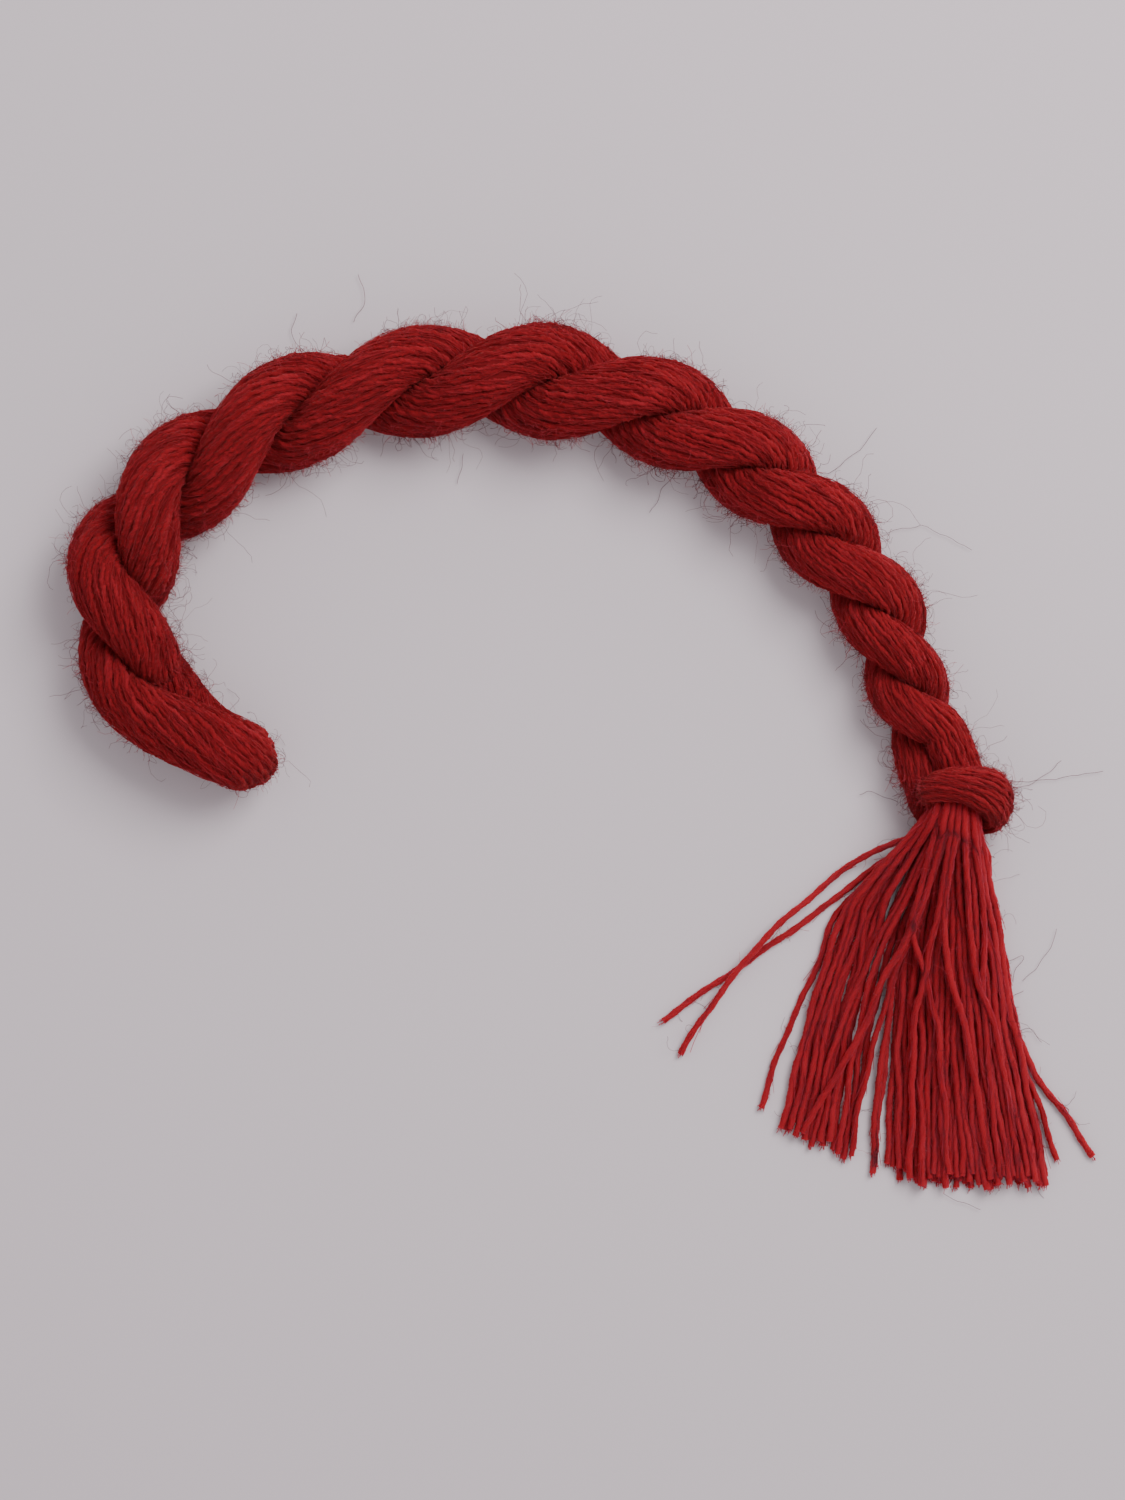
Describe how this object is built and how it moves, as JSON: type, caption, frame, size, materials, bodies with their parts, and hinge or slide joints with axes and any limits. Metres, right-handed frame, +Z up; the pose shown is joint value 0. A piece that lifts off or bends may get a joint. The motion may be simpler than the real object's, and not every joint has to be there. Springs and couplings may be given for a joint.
{
  "type": "wool yarn hank",
  "caption": "Small hank of wool yarn, folded and twisted into a short rope that lies in an arch, hitched near its cut ends, which fan out as a tassel.",
  "frame": {"origin": "on the surface that the hank lies on, under the middle of its bounding box", "axes": "+Z up from the surface; +X along the longest extent, from the folded end of the arch towards the hitched end; +Y from the tassel towards the top of the arch"},
  "size_m": [0.0967, 0.0811, 0.0105],
  "materials": {
    "wool": "matte red plied wool with a fine halo of loose fibres"
  },
  "bodies": {
    "root": {"twisted_hank": "wool", "tassel": "wool"}
  },
  "joints": []
}
